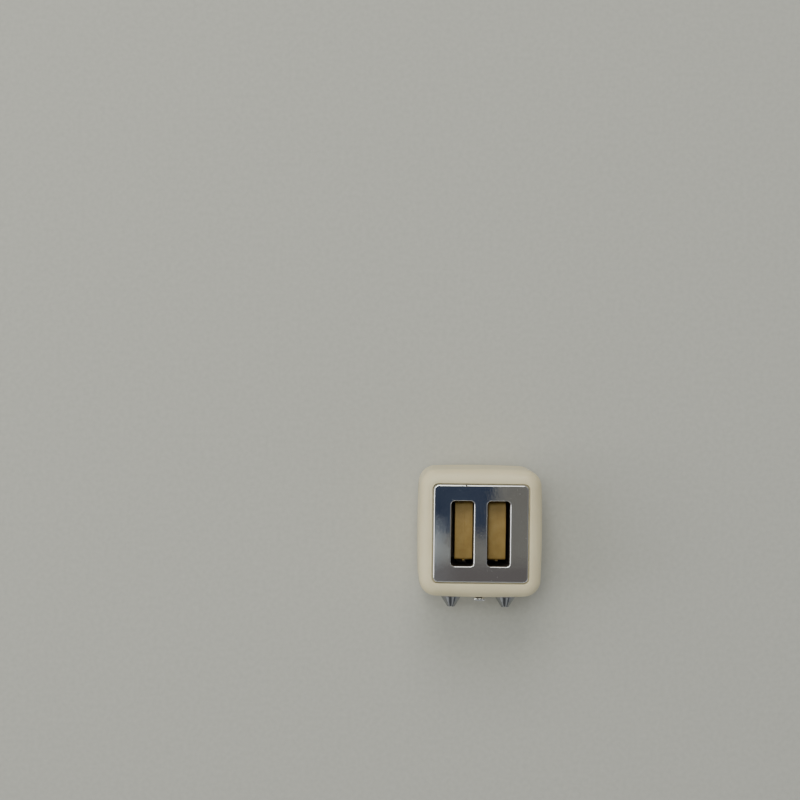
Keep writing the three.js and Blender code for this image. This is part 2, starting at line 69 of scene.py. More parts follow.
lens = bpy.data.cameras.new("copy_stand_camera")
lens.sensor_width = 36
lens.lens = lens.sensor_width * focal_px / photo_width_px
lens.clip_start = 10 * mm
lens.clip_end = 10
camera = bpy.data.objects.new("copy_stand_camera", lens)
camera.location = (-camera_left, middle_y + camera_back, plate_high.z + camera_height)
camera.rotation_euler = (0, 0, camera_turn)
bpy.context.collection.objects.link(camera)
bpy.context.scene.camera = camera


# Studio: a sheet of pale card to stand on, soft light from the left, the back and above, a small lamp
# at the left, a weak light at the right, and a flat grey flag in front, with folds painted on it as
# light and shade, which the knobs mirror. A glowing card overhead, toned with a painted pattern, is
# what the bright plate mirrors as its painted reflection.
def linear(colour):
    """An sRGB hex colour, such as "d8cfb4", as linear red, green, blue and alpha."""
    values = [int(colour[i : i + 2], 16) / 255 for i in (0, 2, 4)]
    return [v / 12.92 if v <= 0.04045 else ((v + 0.055) / 1.055) ** 2.4 for v in values] + [1]


def node(owner, kind, inputs=None, **settings):
    """Adds a node with its settings, and gives its sockets values or links from other nodes' sockets."""
    made = owner.node_tree.nodes.new("ShaderNode" + kind)
    for name, value in settings.items():
        setattr(made, name, value)
    for socket, value in (inputs or {}).items():
        if isinstance(value, bpy.types.NodeSocket):
            owner.node_tree.links.new(value, made.inputs[socket])
        else:
            made.inputs[socket].default_value = value
    return made


def bare_material(name):
    """A material with an empty node tree."""
    made = bpy.data.materials.new(name)
    made.use_nodes = True
    made.node_tree.nodes.clear()
    return made


def stops(ramp, *pairs):
    """Sets a colour ramp's stops from pairs of a place and a colour."""
    elements = ramp.color_ramp.elements
    while len(elements) < len(pairs):
        elements.new(0.5)
    for element, (place, colour) in zip(elements, pairs):
        element.position = place
        element.color = linear(colour)


def stage_sheet(name, size, centre, material):
    """A flat square of the studio, facing up."""
    half = size / 2
    corners = [(-half, -half, 0), (half, -half, 0), (half, half, 0), (-half, half, 0)]
    data = bpy.data.meshes.new(name)
    data.from_pydata(corners, [], [(0, 1, 2, 3)])
    data.materials.append(material)
    sheet = bpy.data.objects.new(name, data)
    sheet.location = centre
    bpy.context.collection.objects.link(sheet)
    return sheet


# Uncoated card: matt, with fibres about 1 mm long that only just show.
table_width = 6
fibres_per_metre = 900
card = bare_material("pale_card")
card_place = node(card, "TexCoord")
card_fibre = node(
    card, "TexNoise", {"Vector": card_place.outputs["Object"], "Scale": fibres_per_metre, "Detail": 4}
)
card_tone = node(card, "ValToRGB", {"Fac": card_fibre.outputs["Fac"]})
stops(card_tone, (0.3, "b3b4ae"), (0.7, "babbb5"))
card_shader = node(card, "BsdfPrincipled", {"Base Color": card_tone.outputs["Color"], "Roughness": 0.9})
node(card, "OutputMaterial", {"Surface": card_shader.outputs["BSDF"]})
stage_sheet("table_card", table_width, (0, 0, 0), card)

# Toned card that glows, though it is no lamp: the plate mirrors a patch of it, so its pattern is a
# painted reflection on the plate, and one unit of that pattern is half of that patch. Slate blue lies at
# the back left, warm grey over the rest, a painted pale gleam at the left and a darker band in front,
# with long streaks that break up their borders.
overhead_width = 0.45
overhead_height = 0.922
mirrored_x, mirrored_y = 50.3 * mm, -79.4 * mm
mirrored_half_width, mirrored_half_depth = 40 * mm, 41.6 * mm
streak_stretch = (13, 0.8, 1)
back_from, back_to = 0.92, 1
left_from, left_to = 0.56, 0.5
gleam_from, gleam_to = 0.34, 0.24
gleam_fade_from, gleam_fade_to = 1.2, 0.9
band_from, band_to, band_strength = -0.5, -0.8, 0.7
overhead = bare_material("glowing_overhead_card")
overhead_place = node(overhead, "TexCoord")
overhead_unit = node(
    overhead,
    "Mapping",
    {
        "Vector": overhead_place.outputs["Object"],
        "Scale": (1 / mirrored_half_width, 1 / mirrored_half_depth, 1),
    },
)
overhead_split = node(overhead, "SeparateXYZ", {"Vector": overhead_unit.outputs["Vector"]})
overhead_long = node(
    overhead, "Mapping", {"Vector": overhead_unit.outputs["Vector"], "Scale": streak_stretch}
)
overhead_streak = node(
    overhead,
    "TexNoise",
    {"Vector": overhead_long.outputs["Vector"], "Scale": 1, "Detail": 7, "Roughness": 0.65},
)
overhead_up = node(
    overhead, "Math", {0: overhead_streak.outputs["Fac"], 1: 2, 2: overhead_split.outputs["Y"]},
    operation="MULTIPLY_ADD",
)
overhead_across = node(
    overhead, "Math", {0: overhead_streak.outputs["Fac"], 1: 0.4, 2: overhead_split.outputs["X"]},
    operation="MULTIPLY_ADD",
)
overhead_back = node(
    overhead,
    "MapRange",
    {"Value": overhead_up.outputs["Value"], "From Min": back_from, "From Max": back_to},
)
overhead_left = node(
    overhead,
    "MapRange",
    {"Value": overhead_across.outputs["Value"], "From Min": left_from, "From Max": left_to},
)
overhead_dark = node(
    overhead, "Math", {0: overhead_back.outputs["Result"], 1: overhead_left.outputs["Result"]},
    operation="MULTIPLY",
)
overhead_grey = node(overhead, "ValToRGB", {"Fac": overhead_streak.outputs["Fac"]})
stops(overhead_grey, (0.3, "68635e"), (0.5, "77746d"), (0.66, "8a8b86"))
overhead_slate = node(overhead, "ValToRGB", {"Fac": overhead_streak.outputs["Fac"]})
stops(overhead_slate, (0.35, "2b3345"), (0.5, "363e50"), (0.6, "4c5563"), (0.7, "717a80"))
overhead_tone = node(
    overhead,
    "Mix",
    {
        0: overhead_dark.outputs["Value"],
        6: overhead_grey.outputs["Color"],
        7: overhead_slate.outputs["Color"],
    },
    data_type="RGBA",
)
overhead_glint = node(
    overhead, "Math", {0: overhead_streak.outputs["Fac"], 1: 2.2, 2: overhead_split.outputs["X"]},
    operation="MULTIPLY_ADD",
)
overhead_edge = node(
    overhead,
    "MapRange",
    {"Value": overhead_glint.outputs["Value"], "From Min": gleam_from, "From Max": gleam_to},
)
overhead_fade = node(
    overhead,
    "MapRange",
    {"Value": overhead_up.outputs["Value"], "From Min": gleam_fade_from, "From Max": gleam_fade_to},
)
overhead_pale = node(
    overhead, "Math", {0: overhead_edge.outputs["Result"], 1: overhead_fade.outputs["Result"]},
    operation="MULTIPLY",
)
overhead_gleam = node(overhead, "ValToRGB", {"Fac": overhead_streak.outputs["Fac"]})
stops(overhead_gleam, (0.36, "c9cfd0"), (0.48, "a6abab"), (0.6, "80868a"))
overhead_window = node(
    overhead, "Mix",
    {0: overhead_pale.outputs["Value"], 6: overhead_tone.outputs[2], 7: overhead_gleam.outputs["Color"]},
    data_type="RGBA",
)
overhead_low = node(
    overhead,
    "MapRange",
    {
        "Value": overhead_split.outputs["Y"],
        "From Min": band_from,
        "From Max": band_to,
        "To Max": band_strength,
    },
)
overhead_shade = node(
    overhead, "Mix",
    {0: overhead_low.outputs["Result"], 6: overhead_window.outputs[2], 7: linear("605a5a")},
    data_type="RGBA",
)
overhead_glow = node(overhead, "Emission", {"Color": overhead_shade.outputs[2], "Strength": 1})
node(overhead, "OutputMaterial", {"Surface": overhead_glow.outputs["Emission"]})
# The glowing card: its painted tones are the plate's painted reflection.
stage_sheet("glowing_overhead_card", overhead_width, (mirrored_x, mirrored_y, overhead_height), overhead)

# Woollen cloth, hung flat: matt, with upright folds about 0.17 m apart painted on it as light and
# shade, light on one side and dark on the other.
flag_width = 0.9
painted_folds_per_metre = 6
flag = bare_material("grey_flag")
flag_place = node(flag, "TexCoord")
flag_long = node(
    flag, "Mapping", {"Vector": flag_place.outputs["Object"], "Scale": (painted_folds_per_metre, 0.6, 1)}
)
# Painted light and shade: the folds are only tones on a flat sheet.
flag_fold_shading = node(flag, "TexNoise", {"Vector": flag_long.outputs["Vector"], "Scale": 1, "Detail": 3})
flag_tone = node(flag, "ValToRGB", {"Fac": flag_fold_shading.outputs["Fac"]})
stops(flag_tone, (0.4, "5c5e62"), (0.5, "b4b6ba"), (0.58, "f6f7fa"))
flag_shader = node(flag, "BsdfPrincipled", {"Base Color": flag_tone.outputs["Color"], "Roughness": 0.95})
node(flag, "OutputMaterial", {"Surface": flag_shader.outputs["BSDF"]})
flag_sheet = stage_sheet("front_flag", flag_width, (-0.12, -0.5, flag_width / 2), flag)
flag_sheet.rotation_euler = (math.radians(-90), 0, 0)


def soft_light(name, width, power, place, colour):
    """A square area light that faces the toaster."""
    lamp = bpy.data.lights.new(name, "AREA")
    lamp.shape = "SQUARE"
    lamp.size = width
    lamp.energy = power
    lamp.color = linear(colour)[:3]
    source = bpy.data.objects.new(name, lamp)
    source.location = place
    aim = Vector((0, middle_y, shell_high.z / 2)) - Vector(place)
    source.rotation_euler = aim.to_track_quat("-Z", "Y").to_euler()
    bpy.context.collection.objects.link(source)


soft_light("window_left", 0.9, 3.6, (-0.85, 0.2, 0.5), "fffbf2")
soft_light("lamp_left", 0.13, 0.4, (-0.8, -0.08, 0.46), "fffdf8")
soft_light("window_back", 0.6, 5.2, (-0.12, 0.82, 0.8), "fffbf2")
soft_light("lamp_above", 0.3, 2.4, (-0.13, 0.19, 0.9), "fbfff2")
soft_light("fill_front_right", 0.8, 1.2, (0.78, -0.55, 0.34), "f1f3ff")

# The studio's air: grey, and brighter towards the back and the left.
brighter_way = (-0.26, 0.3, 0.1)
world = bpy.data.worlds.new("studio_air")
bpy.context.scene.world = world
world.use_nodes = True
world.node_tree.nodes.clear()
air_place = node(world, "TexCoord")
air_lean = node(
    world, "VectorMath", {0: air_place.outputs["Generated"], 1: brighter_way}, operation="DOT_PRODUCT"
)
air_level = node(
    world,
    "MapRange",
    {"Value": air_lean.outputs["Value"], "From Min": -0.4, "To Min": 0.07, "To Max": 0.85},
)
air = node(world, "Background", {"Color": linear("fdfdfb"), "Strength": air_level.outputs["Result"]})
node(world, "OutputWorld", {"Surface": air.outputs["Background"]})


# Shell: one moulding in warm cream ABS, open below, with a soft roll to its top edge, a recess for
# the plate, a slot for the lever and two holes for the knobs. It is screwed to the base from below.
corner_radius = 4.1 * mm
side_bow = 0.2 * mm
shell_wall = 1.2 * mm
shell_draft = 0.1 * mm
top_roll = 2.9 * mm
roll_end = math.radians(80)
bottom_roll = 0.6 * mm
recess_gap = 0.3 * mm
recess_fillet = 0.07 * mm
opening_width, opening_depth, opening_radius = 16.15 * mm, 18.6 * mm, 1 * mm
ceiling_roll = 1.5 * mm
plate_radius = 1.15 * mm
plate_proud = 0.2 * mm
plate_thickness = 1 * mm
ledge_thickness = 1.2 * mm
shell_bottom = shell_low.z
shell_top = plate_high.z - plate_proud
plate_under = plate_high.z - plate_thickness
ceiling = plate_under - ledge_thickness
quarter = math.pi / 2
wall_steps = 9


def sweep(end, steps):
    """Evenly spaced angles from nought to an end, both included."""
    return [end * i / steps for i in range(steps + 1)]


def arc(x, y, radius, start, end, steps):
    """Points round part of a circle, without its last point."""
    turns = [start + (end - start) * i / steps for i in range(steps)]
    return [(x + radius * math.cos(a), y + radius * math.sin(a)) for a in turns]


def outline(width, depth, radius, bow=0.0, inset=0.0, corner_steps=14, side_steps=14):
    """A rectangle round the shell's middle with arcs for corners and, with a bow, long arcs for sides."""
    bow = max(bow, 0.001 * mm)
    half_x, half_y = width / 2, depth / 2
    corner_x, corner_y = half_x - bow - radius, half_y - bow - radius
    bowed = (bow + radius) ** 2 - radius**2
    flank_radius = (bowed + corner_y**2) / (2 * bow)
    front_radius = (bowed + corner_x**2) / (2 * bow)
    flank_turn = math.atan2(corner_y, corner_x - half_x + flank_radius)
    front_turn = math.atan2(corner_x, corner_y - half_y + front_radius)
    corner = radius - inset
    points = []
    for way, turn in ((1, 0), (-1, math.pi)):
        around = turn + quarter
        flank_x = way * (half_x - flank_radius)
        end_y = way * (half_y - front_radius)
        points += arc(flank_x, 0, flank_radius - inset, turn - flank_turn, turn + flank_turn, side_steps)
        points += arc(
            way * corner_x, way * corner_y, corner, turn + flank_turn, around - front_turn, corner_steps
        )
        points += arc(0, end_y, front_radius - inset, around - front_turn, around + front_turn, side_steps)
        points += arc(
            -way * corner_x, way * corner_y, corner, around + front_turn, turn + math.pi - flank_turn,
            corner_steps,
        )
    return [(x, y + middle_y) for x, y in points]


def mesh_piece(name, points, faces):
    """A new object in the frame from points and faces, with its normals facing out."""
    data = bpy.data.meshes.new(name)
    data.from_pydata([tuple(p) for p in points], [], faces)
    work = bmesh.new()
    work.from_mesh(data)
    bmesh.ops.remove_doubles(work, verts=work.verts, dist=0.0005 * mm)
    bmesh.ops.recalc_face_normals(work, faces=work.faces)
    work.to_mesh(data)
    work.free()
    piece = bpy.data.objects.new(name, data)
    bpy.context.collection.objects.link(piece)
    return piece


def skin(name, rings, closed=False, caps=True):
    """A surface through rings of equal counts. A closed one joins its last ring to its first."""
    count = len(rings[0])
    faces = []
    for ring in range(len(rings) if closed else len(rings) - 1):
        low, high = ring * count, (ring + 1) % len(rings) * count
        for i in range(count):
            after = (i + 1) % count
            faces.append((low + i, low + after, high + after, high + i))
    if caps and not closed:
        faces.append(tuple(reversed(range(count))))
        faces.append(tuple(range(len(rings) * count - count, len(rings) * count)))
    return mesh_piece(name, [p for ring in rings for p in ring], faces)


def level(points, z):
    """Flat points lifted to one height."""
    return [(x, y, z) for x, y in points]


def cut(piece, tool, operation="DIFFERENCE"):
    """Cuts one piece with another, which is used up, or joins the two."""
    modifier = piece.modifiers.new("cut", "BOOLEAN")
    modifier.operation = operation
    modifier.solver = "EXACT"
    modifier.object = tool
    bpy.context.view_layer.update()
    evaluated = piece.evaluated_get(bpy.context.evaluated_depsgraph_get())
    result = bpy.data.meshes.new_from_object(evaluated)
    piece.modifiers.clear()
    piece.data = result
    bpy.data.objects.remove(tool)
    return piece


def smooth(piece, angle=32):
    """Smooth shading, with the edges sharper than an angle kept sharp."""
    work = bmesh.new()
    work.from_mesh(piece.data)
    for face in work.faces:
        face.smooth = True
    for edge in work.edges:
        edge.smooth = len(edge.link_faces) == 2 and edge.calc_face_angle(0) < math.radians(angle)
    work.to_mesh(piece.data)
    work.free()
    return piece


def dress(piece, material, slot, body, *nodes):
    """Gives a piece its material, the body that it rides on and the CAD nodes it stands for; the slot is
    not used.
    """
    piece.data.materials.clear()
    piece.data.materials.append(material)
    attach(piece, body)
    if nodes:
        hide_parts(*nodes)


def body_ring(inset, z, bow=side_bow):
    """The shell's own outline at one height."""
    width, depth = shell_high.x - shell_low.x, shell_high.y - shell_low.y
    return level(outline(width, depth, corner_radius, bow, inset), z)


def rectangle_ring(width, depth, radius, z):
    """A round-cornered rectangle with as many points as the shell's outline."""
    return level(outline(width, depth, radius), z)


shell_rings = []
for a in sweep(quarter, 6):
    z = shell_bottom + bottom_roll * (1 - math.cos(a))
    shell_rings.append(body_ring(bottom_roll * (1 - math.sin(a)), z))
wall_from, wall_to = shell_bottom + bottom_roll, shell_top - top_roll
for i in range(1, wall_steps):
    share = i / wall_steps
    shell_rings.append(body_ring(shell_draft * share, wall_from + (wall_to - wall_from) * share))
for a in sweep(roll_end, 18):
    inset = shell_draft + top_roll * (1 - math.cos(a))
    z = shell_top - top_roll * (1 - math.sin(a))
    shell_rings.append(body_ring(inset, z, side_bow * math.cos(a)))
plate_width, plate_depth = plate_high.x - plate_low.x, plate_high.y - plate_low.y
recess_width, recess_depth = plate_width + 2 * recess_gap, plate_depth + 2 * recess_gap
recess_radius = plate_radius + recess_gap
lip_ring = rectangle_ring(
    recess_width + 2 * recess_fillet,
    recess_depth + 2 * recess_fillet,
    recess_radius + recess_fillet,
    shell_top,
)
roll_drop = top_roll * (1 - math.sin(roll_end)) / 4
shell_rings.append(
    [((a[0] + b[0]) / 2, (a[1] + b[1]) / 2, b[2] - roll_drop) for a, b in zip(shell_rings[-1], lip_ring)]
)
for a in sweep(quarter, 4):
    spread = recess_fillet * (1 - math.sin(a))
    shell_rings.append(
        rectangle_ring(
            recess_width + 2 * spread,
            recess_depth + 2 * spread,
            recess_radius + spread,
            shell_top - recess_fillet * (1 - math.cos(a)),
        )
    )
shell_rings.append(rectangle_ring(recess_width, recess_depth, recess_radius, plate_under))
shell_rings.append(rectangle_ring(opening_width, opening_depth, opening_radius, plate_under))
shell_rings.append(rectangle_ring(opening_width, opening_depth, opening_radius, ceiling))
for a in reversed(sweep(quarter, 4)):
    inset = shell_wall + shell_draft + ceiling_roll * (1 - math.cos(a))
    shell_rings.append(body_ring(inset, ceiling - ceiling_roll * (1 - math.sin(a))))
shell_rings.append(body_ring(shell_wall, shell_bottom))
shell = skin("cream_shell", shell_rings, closed=True)

lever_low, lever_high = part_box("lever_handle")
lever_z = (lever_low.z + lever_high.z) / 2
lever_travel = 4 * mm
slot_half_width = 0.8 * mm
slot_end = 0.9 * mm
slot_chamfer = 0.12 * mm
slot_corner = 0.1 * mm


def rounded(left, right, bottom, top, radius, steps):
    """A round-cornered rectangle, with both ends of each corner."""
    points = []
    for across, up, turn in (
        (right - radius, top - radius, 0),
        (left + radius, top - radius, 1),
        (left + radius, bottom + radius, 2),
        (right - radius, bottom + radius, 3),
    ):
        end = quarter * (turn + 1)
        points += arc(across, up, radius, quarter * turn, end, steps)
        points.append((across + radius * math.cos(end), up + radius * math.sin(end)))
    return points


def slot_ring(spread, y):
    """The lever's slot, widened all round by a spread, in a plane that faces the front."""
    low = lever_z - lever_travel - slot_end - spread
    high = lever_z + slot_end + spread
    half = slot_half_width + spread
    return [(x, y, z) for x, z in rounded(-half, half, low, high, slot_corner + spread, 5)]


flare_from, flare_to = front_y - 0.5 * mm, front_y + shell_draft + slot_chamfer
slot_rings = [
    slot_ring(flare_to - flare_from, flare_from),
    slot_ring(0, flare_to),
    slot_ring(0, front_y + 2 * shell_wall),
]
cut(shell, skin("slot_tool", slot_rings))


def turned(name, profile, place, facing="up", sides=64):
    """A solid turned from (radius, length) points, standing up or pointing to the front."""
    rings = []
    for radius, length in profile:
        ring = []
        for i in range(sides):
            a = 2 * math.pi * i / sides
            across, along = radius * math.cos(a), radius * math.sin(a)
            if facing == "up":
                offset = (across, along, length)
            else:
                offset = (across, -length, along)
            ring.append(tuple(Vector(place) + Vector(offset)))
        rings.append(ring)
    return skin(name, rings)


def rounded_foot(radius, size, steps):
    """The profile of a rounded lower edge, from the underside to the side."""
    return [(radius - size * (1 - math.sin(a)), size * (1 - math.cos(a))) for a in sweep(quarter, steps)]


def rounded_top(radius, height, size, steps):
    """The profile of a rounded upper edge, from the side to the top."""
    turns = sweep(quarter, steps)
    return [(radius - size * (1 - math.cos(a)), height - size * (1 - math.sin(a))) for a in turns]


stem_hole_radius = 0.88 * mm
knob_x = (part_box("knob_right")[0].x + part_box("knob_right")[1].x) / 2
knob_z = (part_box("knob_right")[0].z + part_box("knob_right")[1].z) / 2
for side in (-1, 1):
    hole = [(stem_hole_radius, -2 * shell_wall), (stem_hole_radius, shell_wall)]
    cut(shell, turned("stem_tool", hole, (side * knob_x, front_y, knob_z), "front", sides=40))
smooth(shell)

# Injection-moulded ABS in warm cream: satin gloss from a fine spark-eroded mould face, IOR 1.54. Its
# grain is 0.05 mm in the real one, and 0.15 mm here so that it shows. The wall sinks a little every
# 4 mm and its colour drifts over 9 mm. Handling leaves fine rubs along one way, grey specks of dust
# 0.1 mm wide, a few of them in cells of 1.1 mm, and duller patches where it is held.
abs_grain = 0.15 * mm
abs_sink = 4 * mm
abs_drift = 9 * mm
abs_speck_cell = 1.1 * mm
abs_rub = 0.09 * mm
rub_stretch = (1, 0.04, 0.04)
rub_turn = (0.7, 0.5, 0.3)
cream_abs = bare_material("cream_abs_moulded")
cream_place = node(cream_abs, "TexCoord")
cream_at = cream_place.outputs["Object"]
cream_drift = node(cream_abs, "TexNoise", {"Vector": cream_at, "Scale": 1 / abs_drift, "Detail": 4})
cream_tone = node(cream_abs, "ValToRGB", {"Fac": cream_drift.outputs["Fac"]})
stops(cream_tone, (0.3, "d9ceab"), (0.7, "e1d7b5"))
cream_dust = node(cream_abs, "TexVoronoi", {"Vector": cream_at, "Scale": 1 / abs_speck_cell})
cream_dots = node(
    cream_abs, "MapRange", {"Value": cream_dust.outputs["Distance"], "From Min": 0.075, "From Max": 0.04}
)
cream_seen = node(cream_abs, "SeparateColor", {"Color": cream_dust.outputs["Color"]})
cream_rare = node(
    cream_abs, "MapRange", {"Value": cream_seen.outputs["Red"], "From Min": 0.8, "From Max": 0.95}
)
cream_specks = node(
    cream_abs, "Math", {0: cream_dots.outputs["Result"], 1: cream_rare.outputs["Result"]},
    operation="MULTIPLY",
)
cream_colour = node(
    cream_abs,
    "Mix",
    {0: cream_specks.outputs["Value"], 6: cream_tone.outputs["Color"], 7: linear("a79d88")},
    data_type="RGBA",
)
cream_grain = node(cream_abs, "TexNoise", {"Vector": cream_at, "Scale": 1 / abs_grain, "Detail": 2})
cream_stretch = node(
    cream_abs, "Mapping", {"Vector": cream_at, "Rotation": rub_turn, "Scale": rub_stretch}
)
cream_rubs = node(
    cream_abs, "TexNoise", {"Vector": cream_stretch.outputs["Vector"], "Scale": 1 / abs_rub, "Detail": 3}
)
cream_worn = node(
    cream_abs, "Math", {0: cream_rubs.outputs["Fac"], 1: 0.35, 2: cream_drift.outputs["Fac"]},
    operation="MULTIPLY_ADD",
)
cream_sheen = node(
    cream_abs,
    "MapRange",
    {"Value": cream_worn.outputs["Value"], "From Min": 0.45, "From Max": 0.9, "To Min": 0.3, "To Max": 0.5},
)
cream_waves = node(cream_abs, "TexNoise", {"Vector": cream_at, "Scale": 1 / abs_sink, "Detail": 1})
cream_sink = node(
    cream_abs, "Bump", {"Height": cream_waves.outputs["Fac"], "Strength": 0.3, "Distance": 0.1 * mm}
)
cream_bump = node(
    cream_abs,
    "Bump",
    {
        "Height": cream_grain.outputs["Fac"],
        "Strength": 0.45,
        "Distance": 0.015 * mm,
        "Normal": cream_sink.outputs["Normal"],
    },
)
cream_shader = node(
    cream_abs,
    "BsdfPrincipled",
    {
        "Base Color": cream_colour.outputs[2],
        "Roughness": cream_sheen.outputs["Result"],
        "IOR": 1.54,
        "Subsurface Weight": 0.08,
        "Subsurface Radius": (1.0, 0.75, 0.45),
        "Subsurface Scale": 0.6 * mm,
        "Normal": cream_bump.outputs["Normal"],
    },
)
node(cream_abs, "OutputMaterial", {"Surface": cream_shader.outputs["BSDF"]})
dress(shell, cream_abs, "cream_abs", "root", "body_shell")

# Top plate: moulded in black ABS and vacuum-plated bright on its face, its rounded edge and the rims
# of its two slots, while its sides below are left bare black, which also stands as painted shade in the
# gap round the plate. Where the gate was cut off its back edge, the black shows through a notch in the
# plating. Four pegs under it are staked over with heat.
slot_width, slot_length, slot_spacing, slot_radius = 5 * mm, 15 * mm, 8.35 * mm, 0.8 * mm
slot_ease = 0.2 * mm
edge_round = 0.3 * mm
rim_round = 0.28 * mm
rim_end_share = 0.65
flat_margin = 0.03 * mm
plating_depth = 0.36 * mm
gate_x = -3.45 * mm
gate_half = 0.2 * mm
gate_depth = 0.42 * mm
top_z = plate_high.z
plating_low = top_z - plating_depth


def slot_outline(side, spread):
    """The outline of one slot, eased to the left, and widened by a spread that is less at its ends."""
    points = outline(
        slot_width + slot_ease + 2 * spread,
        slot_length + 2 * spread * rim_end_share,
        slot_radius + spread,
        corner_steps=8,
        side_steps=2,
    )
    return [(x + side * slot_spacing / 2 - slot_ease / 2, y) for x, y in points]


def pierced(name, ring_sets):
    """A slab with holes: the rings of its outside and of each hole, lowest first."""
    points, faces, feet, tops = [], [], [], []
    for rings in ring_sets:
        start, count = len(points), len(rings[0])
        points += [p for ring in rings for p in ring]
        for ring in range(len(rings) - 1):
            low = start + ring * count
            for i in range(count):
                after = (i + 1) % count
                faces.append((low + i, low + after, low + count + after, low + count + i))
        feet.append(list(range(start, start + count)))
        tops.append(list(range(len(points) - count, len(points))))
    for loops in (feet, tops):
        order = [i for loop in loops for i in loop]
        for triangle in tessellate_polygon([[Vector(points[i]) for i in loop] for loop in loops]):
            faces.append(tuple(order[i] for i in triangle))
    return mesh_piece(name, points, faces)


plate_edge = outline(plate_width, plate_depth, plate_radius)
core_heights = (plate_under, plating_low)
plate_rings = [level(plate_edge, plating_low)]
for a in sweep(quarter, 7):
    ring = outline(plate_width, plate_depth, plate_radius, inset=edge_round * (1 - math.cos(a)))
    plate_rings.append(level(ring, top_z - edge_round * (1 - math.sin(a))))
plate_rings.append(
    level(outline(plate_width, plate_depth, plate_radius, inset=edge_round + flat_margin), top_z)
)
plate_sets = [plate_rings]
core_sets = [[level(plate_edge, z) for z in core_heights]]
for side in (-1, 1):
    rim_rings = [level(slot_outline(side, 0), plating_low)]
    for a in sweep(quarter, 6):
        spread = rim_round * (1 - math.cos(a))
        rim_rings.append(level(slot_outline(side, spread), top_z - rim_round * (1 - math.sin(a))))
    rim_rings.append(level(slot_outline(side, rim_round + flat_margin), top_z))
    plate_sets.append(rim_rings)
    core_sets.append([level(slot_outline(side, 0), z) for z in core_heights])
plate = pierced("bright_plate", plate_sets)
core = pierced("plate_core", core_sets)


def block(name, low, high):
    """A plain box between two corners, to cut with."""
    points = [(x, y, z) for z in (low[2], high[2]) for y in (low[1], high[1]) for x in (low[0], high[0])]
    faces = [(0, 1, 3, 2), (4, 6, 7, 5), (0, 4, 5, 1), (2, 3, 7, 6), (0, 2, 6, 4), (1, 5, 7, 3)]
    return mesh_piece(name, points, faces)


gate_low = (gate_x - gate_half, plate_high.y - gate_depth, plate_under - mm)
gate_high = (gate_x + gate_half, plate_high.y + mm, top_z + mm)
cut(plate, block("gate_tool", gate_low, gate_high))
for piece in (plate, core):
    smooth(piece, 25)

# Bright chrome vacuum-plated over moulded ABS: a mirror, but not a flat one. The moulding under it
# sinks and swells over 6 mm or so, and its skin has a 0.6 mm orange peel. Handling leaves specks
# 0.1 mm wide, dull patches of 2.5 mm, and hairlines, which are drawn 0.05 mm wide so that they show.
chrome_sink = 6 * mm
chrome_peel = 0.6 * mm
chrome_hairline = 0.05 * mm
chrome_speck_cell = 0.9 * mm
chrome_patch = 2.5 * mm
plated = bare_material("chrome_plated_abs")
plated_place = node(plated, "TexCoord")
plated_at = plated_place.outputs["Object"]
plated_waves = node(plated, "TexNoise", {"Vector": plated_at, "Scale": 1 / chrome_sink, "Detail": 1})
plated_peel = node(plated, "TexNoise", {"Vector": plated_at, "Scale": 1 / chrome_peel, "Detail": 2})
plated_hair_place = node(
    plated, "Mapping", {"Vector": plated_at, "Rotation": (0, 0, 0.5), "Scale": (1, 0.03, 1)}
)
plated_hair = node(
    plated, "TexNoise", {"Vector": plated_hair_place.outputs["Vector"], "Scale": 1 / chrome_hairline}
)
plated_specks = node(plated, "TexVoronoi", {"Vector": plated_at, "Scale": 1 / chrome_speck_cell})
speck_mask = node(plated, "ValToRGB", {"Fac": plated_specks.outputs["Distance"]})
stops(speck_mask, (0.03, "ffffff"), (0.06, "000000"))
plated_haze = node(plated, "TexNoise", {"Vector": plated_at, "Scale": 1 / chrome_patch, "Detail": 5})
haze_range = node(
    plated,
    "MapRange",
    {
        "Value": plated_haze.outputs["Fac"],
        "From Min": 0.45,
        "From Max": 0.75,
        "To Min": 0.01,
        "To Max": 0.06,
    },
)
speck_rough = node(
    plated, "Math", {0: speck_mask.outputs["Color"], 1: 0.35, 2: haze_range.outputs["Result"]},
    operation="MULTIPLY_ADD",
)
sink_bump = node(
    plated, "Bump", {"Height": plated_waves.outputs["Fac"], "Strength": 0.5, "Distance": 0.02 * mm}
)
peel_bump = node(
    plated, "Bump",
    {"Height": plated_peel.outputs["Fac"], "Strength": 0.7, "Distance": 0.002 * mm,
     "Normal": sink_bump.outputs["Normal"]},
)
hair_bump = node(
    plated, "Bump",
    {"Height": plated_hair.outputs["Fac"], "Strength": 0.5, "Distance": 0.001 * mm,
     "Normal": peel_bump.outputs["Normal"]},
)
plated_shader = node(
    plated,
    "BsdfPrincipled",
    {
        "Base Color": linear("dddfe1"),
        "Metallic": 1,
        "Roughness": speck_rough.outputs["Value"],
        "Normal": hair_bump.outputs["Normal"],
    },
)
node(plated, "OutputMaterial", {"Surface": plated_shader.outputs["BSDF"]})
dress(plate, plated, "bright_plating", "root", "top_plate")

